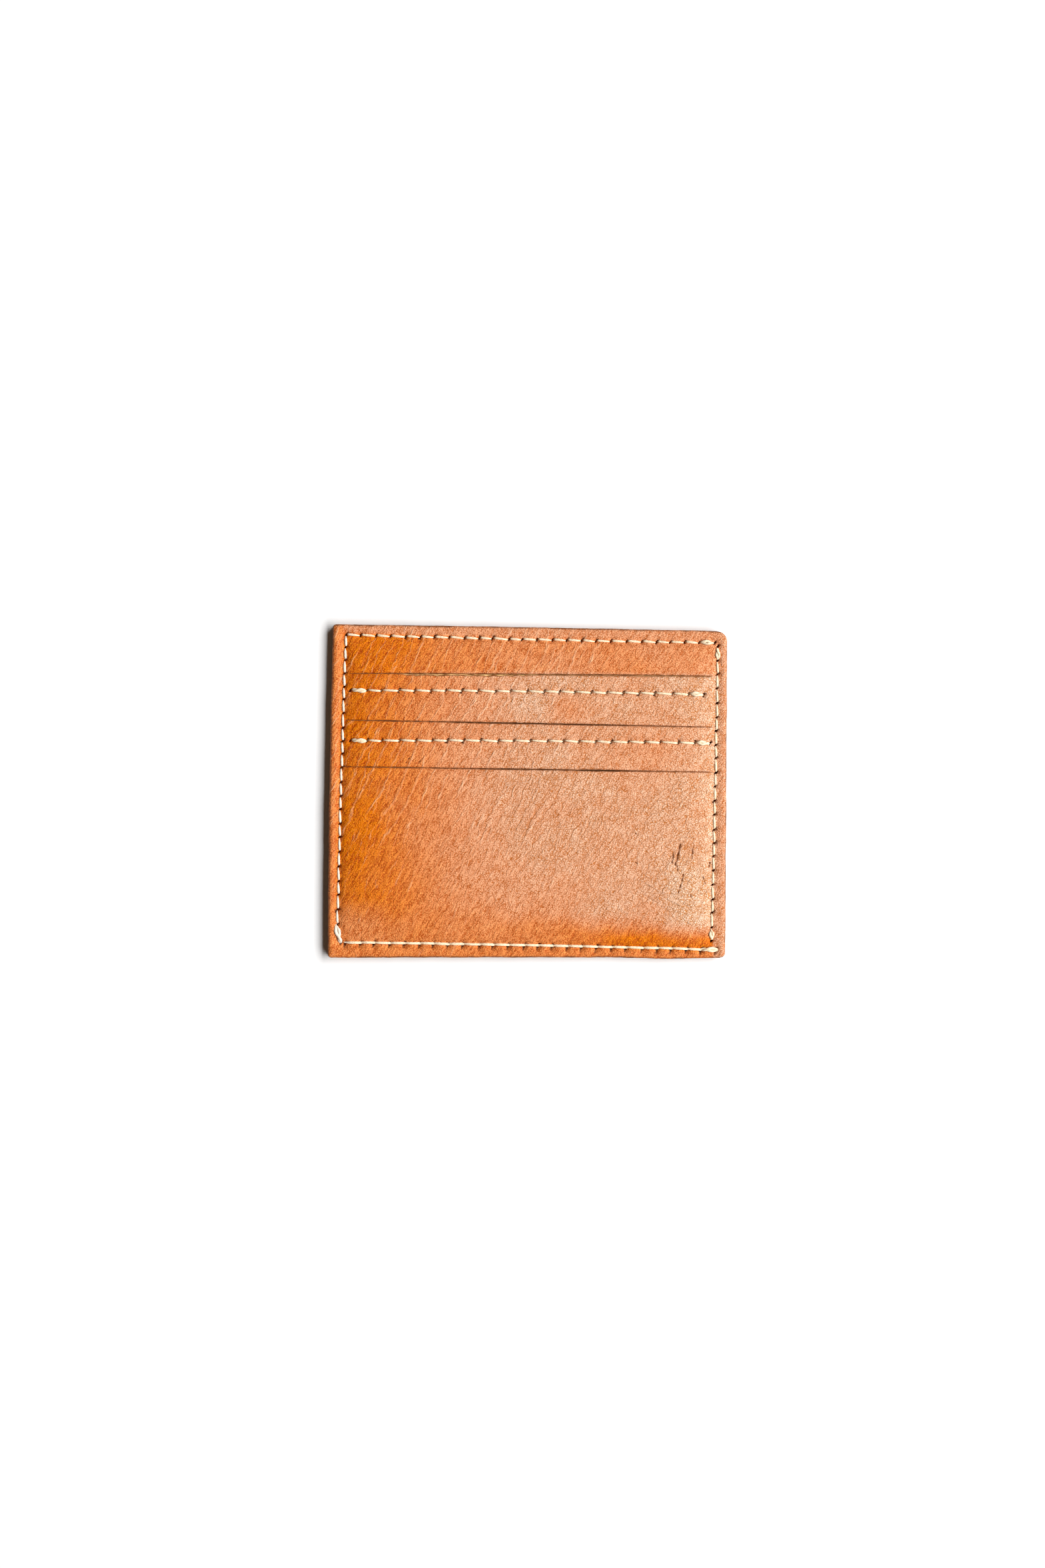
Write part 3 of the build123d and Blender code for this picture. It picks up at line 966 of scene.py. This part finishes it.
def leather_material(name, strong, faint, creases, roughness):
    """Vegetable-tanned leather: pebbled grain, slanted creases, veins and uneven dye, with painted
    sheen, glints and shade.

    strong and faint are its colours where the dye took strongly and where it stayed pale; the faint
    colours also carry the painted sheen. The value "pale" on the points goes from one to the other.
    creases is how much its lines show.
    """
    n = Nodes(name)
    flat = n.place()
    pale = n.attribute("pale")
    valleys, tops, lines, glint_colour = (n.mix(pale, a, b) for a, b in zip(strong, faint))
    mottle = n.noise(flat, 0.42, 4, 0.6)
    streaky = n.noise(n.place((1500, 420, 1500), 31), 1.0, 4, 0.62)
    pores = n.noise(flat, 2.6, 2, 0.6)
    pebble = n.ramp(n.cells(flat, 2.0, 1.6, 0.5), (0.0, 0), (0.08, 0.6), (0.2, 1))
    pebbled = n.swing(pebble, 0.8, n.linear(pale, 0.4, 0.4))
    streaked = n.swing(streaky, 0.5, n.linear(pale, -1.8, 2.3))
    speckled = n.swing(pores, 0.5, 1.1)
    mottled = n.swing(mottle, 0.5, n.linear(pale, 0.6, 0.4))
    grain = n.plus(n.plus(pebbled, streaked), n.plus(speckled, mottled))
    colour = n.mix(n.fade(n.plus(grain, 0.6), 0.22, 0.72), valleys, tops)
    # painted glints: peach specks standing for the lit sides of the pebbles, fewer where the face is
    # pale
    painted_glint = n.fade(n.noise(n.place((2900, 2300, 2900), 60), 1.0, 2, 0.65), 0.52, 0.66)
    colour = n.mix(n.times(painted_glint, n.linear(pale, -0.45, 0.9)), colour, glint_colour)
    veins = light_veins(n)
    fold = n.times(vein_pattern(n, 0.12, 24, 5.4), n.attribute("folds"))
    fold = n.times(fold, n.fade(mottle, 0.4, 0.52))
    crackled = crackle(n, flat, pale, pores)
    crease = n.noise(n.place((620, 130, 620), 33, (3, 5, 0)), 1.0, 4, 0.6, 0.5)
    crease = n.ramp(crease, (0.44, 0), (0.5, 1), (0.56, 0))
    colour = n.mix(n.times(veins, 0.66 * creases), colour, lines)
    for mark, share in ((fold, 0.8), (crackled, 0.5), (crease, 0.3)):
        colour = n.mix(n.times(mark, share * creases), colour, valleys)
    colour = n.mix(n.fade(n.attribute("rub"), 0.1, 0.9, 0, 0.85), colour, RUBBED_RIM)
    # painted shade: darker in the cuts, scars, slit lips and folds, near black deep in the awl cuts,
    # over the stain of the cut
    cut = n.attribute("cut")
    stain_and_shade = n.ramp(cut, (0.8, CUT_STAIN_AND_SHADE), (0.98, DEEP_CUT_SHADE))
    colour = n.mix(n.fade(cut, 0.1, 0.55), colour, stain_and_shade)
    rough = n.plus(n.times(mottle, 0.24), roughness - 0.12)
    ripple = n.noise(n.place((230, 1150, 230), 24), 1.0, 3, 0.55, 0.4)
    normal = n.bumps(
        (pebble, 0.05, 1.0),
        (streaky, 0.2, 0.8),
        (pores, 0.2, 0.8),
        (n.times(ripple, n.attribute("ripple")), 0.6, 1.0),
        (veins, 0.1, 0.8 * creases),
        (crease, -0.08, 0.7 * creases),
        (n.math("MAXIMUM", crackled, fold), -0.1, creases),
    )
    return n.surface(
        {"IOR": 1.5, "Specular IOR Level": 0.12},
        {"Base Color": colour, "Roughness": rough, "Normal": normal},
    )


def cut_edge_material(name, dark, light):
    """A raw cut edge: packed fibres in thin layers, and loose pale ones where it is frayed."""
    n = Nodes(name)
    fibre = n.noise(n.place((900, 900, 7000)), 1.0, 4, 0.7)
    blotch = n.noise(n.place(), 0.5, 3, 0.6)
    colour = n.ramp(fibre, (0.3, dark), (0.7, light))
    colour = n.mix(n.times(blotch, 0.5), colour, dark)
    strands = n.noise(n.place((500, 3600, 3600)), 1.0, 3, 0.6)
    loose = n.ramp(strands, (0.42, (0.24, 0.08, 0.015)), (0.62, (0.86, 0.52, 0.22)))
    colour = n.mix(n.attribute("fray"), colour, loose)
    return n.surface(
        {"Roughness": 0.78, "Specular IOR Level": 0.3},
        {"Base Color": colour, "Normal": n.bumps((fibre, 0.12, 0.7))},
    )


def thread_material(name):
    """Waxed cream thread with fine fibres and a little grime, worn whiter towards the left."""
    n = Nodes(name)
    flat = n.place()
    fibre = n.noise(n.place((2600, 2600, 5200), 35), 1.0, 3, 0.6)
    grime = n.noise(flat, 0.9, 3, 0.6)
    colour = n.ramp(fibre, (0.3, (0.62, 0.44, 0.26)), (0.58, (0.92, 0.76, 0.54)))
    colour = n.mix(n.fade(grime, 0.5, 0.75, 0, 0.45), colour, (0.66, 0.57, 0.46))
    across = n.add("ShaderNodeSeparateXYZ", links={0: flat}).outputs["X"]
    worn = n.fade(n.linear(across, -0.5, -21.75), 0.0, 1.0, 0, 0.7)
    colour = n.mix(worn, colour, (0.74, 0.66, 0.58))
    return n.surface(
        {"Roughness": 0.55, "Specular IOR Level": 0.3},
        {"Base Color": colour, "Normal": n.bumps((fibre, 0.06, 0.6))},
    )


def floor_material():
    """Plain white paper, with almost no texture."""
    n = Nodes("white_surface")
    clouds = n.noise(n.place((30, 30, 30)), 1.0, 2)
    tint = n.ramp(clouds, (0.4, (0.88, 0.88, 0.885)), (0.6, (0.9, 0.9, 0.9)))
    return n.surface({"Roughness": 0.7, "Specular IOR Level": 0.2}, {"Base Color": tint})


FACE_LEATHER = leather_material("orange_tan_leather", FACE_STRONG, FACE_PALE, 1.0, 0.44)
BACK_LEATHER = leather_material("orange_tan_leather_back", BACK_STRONG, BACK_PALE, 0.8, 0.5)
LINING_LEATHER = leather_material("thin_lining_leather", LINING, LINING, 0.4, 0.66)
RAW_EDGE = cut_edge_material("raw_cut_edge", (0.16, 0.045, 0.012), (0.62, 0.27, 0.10))
LINING_EDGE = cut_edge_material("thin_cut_edge", (0.2, 0.08, 0.03), (0.5, 0.26, 0.12))
THREAD = thread_material("waxed_cream_thread")


def finish_piece(obj, slot, materials, *nodes):
    """Gives a piece its materials and its body, and hides the CAD nodes that it stands for. slot is not
    used.
    """
    for index, material in enumerate(materials):
        obj.data.materials[index] = material
    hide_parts(*nodes)
    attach(obj, "root")


# ----- Panels -----

PANEL_COLUMNS = spaced(-HALF_WIDTH, HALF_WIDTH, 0.58)
PLAIN_COLUMNS = spaced(-HALF_WIDTH, HALF_WIDTH, 1.0)
LINER_INSET = 0.12
LINER_GAP = 0.01
LEAF_MARGIN = 2.4
FOOT_MARGIN = 3.0
FOOT_HOLES = 21
SKIVED_WIDTH = 7
SKIVED_THICKNESS = 0.1


def flat_level(z):
    """A level that is the same everywhere."""
    return lambda x, y: np.full_like(x, z)


def plain_panel(columns, step):
    """The grid of a panel without slits."""
    points, faces = sheet_grid(columns, [outline_ends(columns)], step, panel_place)
    return round_corners(points), faces


def front_panel():
    """The face: one sheet with three slits, drawn down at its seams."""
    low, top = outline_ends(PANEL_COLUMNS)
    bands = []
    for slit in SLITS:
        line, gap = slit_height(slit, PANEL_COLUMNS), slit_gap(slit, PANEL_COLUMNS) / 2
        bands.append((low, line - gap))
        low = line + gap
    bands.append((low, top))
    open_spans = [slit["ends"] for slit in SLITS]
    points, faces = sheet_grid(PANEL_COLUMNS, bands, 0.56, panel_place, open_spans)
    grid = round_corners(points), faces
    panel = build_sheet("front_leather", grid, face_height, front_roof, FACE_HOLES, detail=True)
    finish_piece(panel, "face_leather", (FACE_LEATHER, RAW_EDGE), "front_panel")


def back_panel():
    """The back: one plain sheet, with the perimeter seams pressed into it."""
    grid = plain_panel(PANEL_COLUMNS, 0.6)
    inside = flat_level(BACK_TOP)
    panel = build_sheet("back_leather", grid, back_height, inside, RIM_HOLES, flip=True, cut_depth=0.5)
    finish_piece(panel, "back_leather", (BACK_LEATHER, RAW_EDGE), "back_panel")


def inner_liner():
    """Thin leather between the pockets and the back panel, a little short of the edges."""
    points, faces = plain_panel(PLAIN_COLUMNS, 1.0)
    grid = points * (1 - LINER_INSET / HALF_WIDTH), faces
    upper, lower = flat_level(LINER_TOP - LINER_GAP), flat_level(LINER_BOTTOM + LINER_GAP)
    liner = build_sheet("inner_liner_leather", grid, upper, lower)
    finish_piece(liner, "lining_leather", (LINING_LEATHER, LINING_EDGE), "inner_liner")


def leaf_level(y, row_y, foot_y, flat_share):
    """Height of a leaf's middle as a share of the pocket space: hung, level and then sewn down."""
    hung = smooth(y, row_y - LEAF_MARGIN - 5, row_y - LEAF_MARGIN)
    foot = 1 - smooth(y, foot_y + 2.5, foot_y + 6)
    return flat_share * (1 - hung) * (1 - foot) + hung * 0.93 + foot * 0.1


def pocket_leaf(name, node, flat_share):
    """One leaf, hung from its row of stitches, skived thin towards its sides."""
    low, high = node_box(node)
    columns = spaced(low[0], high[0], 1.2)
    row_y, foot_y = high[1] - LEAF_MARGIN, low[1] + FOOT_MARGIN
    band = (np.full_like(columns, low[1]), np.full_like(columns, high[1]))
    grid = sheet_grid(columns, [band], 1.0, lambda x, y: x)

    def half_thickness(x):
        full = smooth(np.abs(x), high[0], high[0] - SKIVED_WIDTH)
        return (SKIVED_THICKNESS + (LEAF_THICKNESS - SKIVED_THICKNESS) * full) / 2

    def middle(x, y):
        room = front_roof(x, y) - LINER_TOP - 0.06
        share = leaf_level(y, row_y, foot_y, flat_share)
        half = half_thickness(x)
        return LINER_TOP + 0.03 + np.clip(share * room, half, np.maximum(room - half, half))

    def upper(x, y):
        return middle(x, y) + half_thickness(x)

    def lower(x, y):
        return middle(x, y) - half_thickness(x)

    leaf = build_sheet(name, grid, upper, lower)
    finish_piece(leaf, "lining_leather", (LINING_LEATHER, LINING_EDGE), node)


front_panel()
back_panel()
inner_liner()
pocket_leaf("upper_leaf_leather", "upper_pocket_leaf", 0.36)
pocket_leaf("lower_leaf_leather", "lower_pocket_leaf", 0.66)


# ----- Seams -----


def thread_piece(name, node, *runs):
    """One thread, sewn through both faces along its runs of holes."""
    thread = Thread(len(name) * 7 + len(runs))
    for seam in runs:
        holes, doubled = HOLES[seam], SEAMS[seam]["doubled"]
        if seam == "bottom":
            edge_holes = holes + (0.1, 0.05)
            thread.sew(edge_holes, face_height, 1, doubled, slant=0.05, dive=0.12, lap=0.35, thick=1.15)
        elif seam == "left":
            knot = holes[-2:] - (0.2, 0)
            thread.sew(holes[:-1], face_height, 1, thick=1.08)
            thread.sew(knot, face_height, 1, (0,), dive=0.7, lap=0.15, thick=1.3)
            thread.sew(knot, face_height, 1, dive=0.7, lap=0.1, thick=1.3)
        else:
            thread.sew(holes, face_height, 1, doubled)
        if seam in PERIMETER:
            thread.sew(holes, back_height, -1, slant=0.2, dive=0.6, lap=0)
        else:
            thread.sew(holes, front_roof, -1, slant=0.2, dive=0.5, lap=0)
    thread.finish(name, node)


def foot_thread(name, node, seed):
    """The hidden thread that holds a leaf's foot on the liner."""
    low, high = node_box(node)
    y = (low[1] + high[1]) / 2
    holes = np.array([(x, y) for x in np.linspace(low[0] + 0.2, high[0] - 0.2, FOOT_HOLES)])
    thread = Thread(seed)
    over, under = flat_level(LINER_TOP + LEAF_THICKNESS), flat_level(LINER_BOTTOM + 0.12)
    thread.sew(holes, over, 1, slant=0.15, dive=0.3, lap=0)
    thread.sew(holes, under, -1, slant=0.15, dive=0.2, lap=0)
    thread.finish(name, node)


thread_piece("top_left_thread", "top_left_seam_thread", "top", "left")
thread_piece("right_thread", "right_seam_thread", "right")
thread_piece("bottom_thread", "bottom_seam_thread", "bottom")
thread_piece("upper_row_stitching", "upper_row_thread", "upper_row")
thread_piece("lower_row_stitching", "lower_row_thread", "lower_row")
foot_thread("upper_foot_stitching", "upper_foot_thread", 31)
foot_thread("lower_foot_stitching", "lower_foot_thread", 37)


# ----- Floor, light and camera -----


FLOOR_HALF = 6.0
FLOOR_CUTS = 13
WINDOW_PLACE = (1.414, 0.0, 1.414)
WINDOW_SIZE = (3.4, 1.05)
WINDOW_POWER = 106
ROOM_COLOUR = (1, 0.74, 0.5, 1)
ROOM_STRENGTH = 0.05
CAMERA_HEIGHT = 0.5408
CAMERA_SHIFT = (-0.00146, 0.00205)
CAMERA_TURN = 0.62


def make_floor():
    """A wide white surface under the holder."""
    steps = np.linspace(-FLOOR_HALF, FLOOR_HALF, FLOOR_CUTS)
    vertices = [(x, y, 0) for y in steps for x in steps]
    faces = []
    for row in range(FLOOR_CUTS - 1):
        for column in range(FLOOR_CUTS - 1):
            low = row * FLOOR_CUTS + column
            high = low + FLOOR_CUTS
            faces.append((low, low + 1, high + 1, high))
    mesh = bpy.data.meshes.new("floor")
    mesh.from_pydata(vertices, [], faces)
    mesh.materials.append(floor_material())
    add_object("floor", mesh)


def make_light():
    """A long soft window, halfway up on the right, in an almost dark room."""
    world = bpy.data.worlds.new("studio")
    world.use_nodes = True
    room = world.node_tree.nodes["Background"].inputs
    room["Color"].default_value = ROOM_COLOUR
    room["Strength"].default_value = ROOM_STRENGTH
    bpy.context.scene.world = world
    data = bpy.data.lights.new("window", "AREA")
    data.shape = "RECTANGLE"
    data.size, data.size_y = WINDOW_SIZE
    data.energy = WINDOW_POWER
    light = add_object("window", data)
    light.location = WINDOW_PLACE
    light.rotation_euler = (-Vector(WINDOW_PLACE)).to_track_quat("-Z", "Y").to_euler()


def make_camera():
    """Straight down, with a 50 mm lens on a 36 mm high frame."""
    data = bpy.data.cameras.new("camera")
    data.lens = 50
    data.sensor_fit = "VERTICAL"
    data.sensor_height = 36
    camera = add_object("camera", data)
    camera.location = (*CAMERA_SHIFT, CAMERA_HEIGHT + FRONT_TOP * MM)
    camera.rotation_euler = (0, 0, math.radians(CAMERA_TURN))
    bpy.context.scene.camera = camera


make_floor()
make_light()
make_camera()
bpy.context.scene.view_settings.view_transform = "Standard"
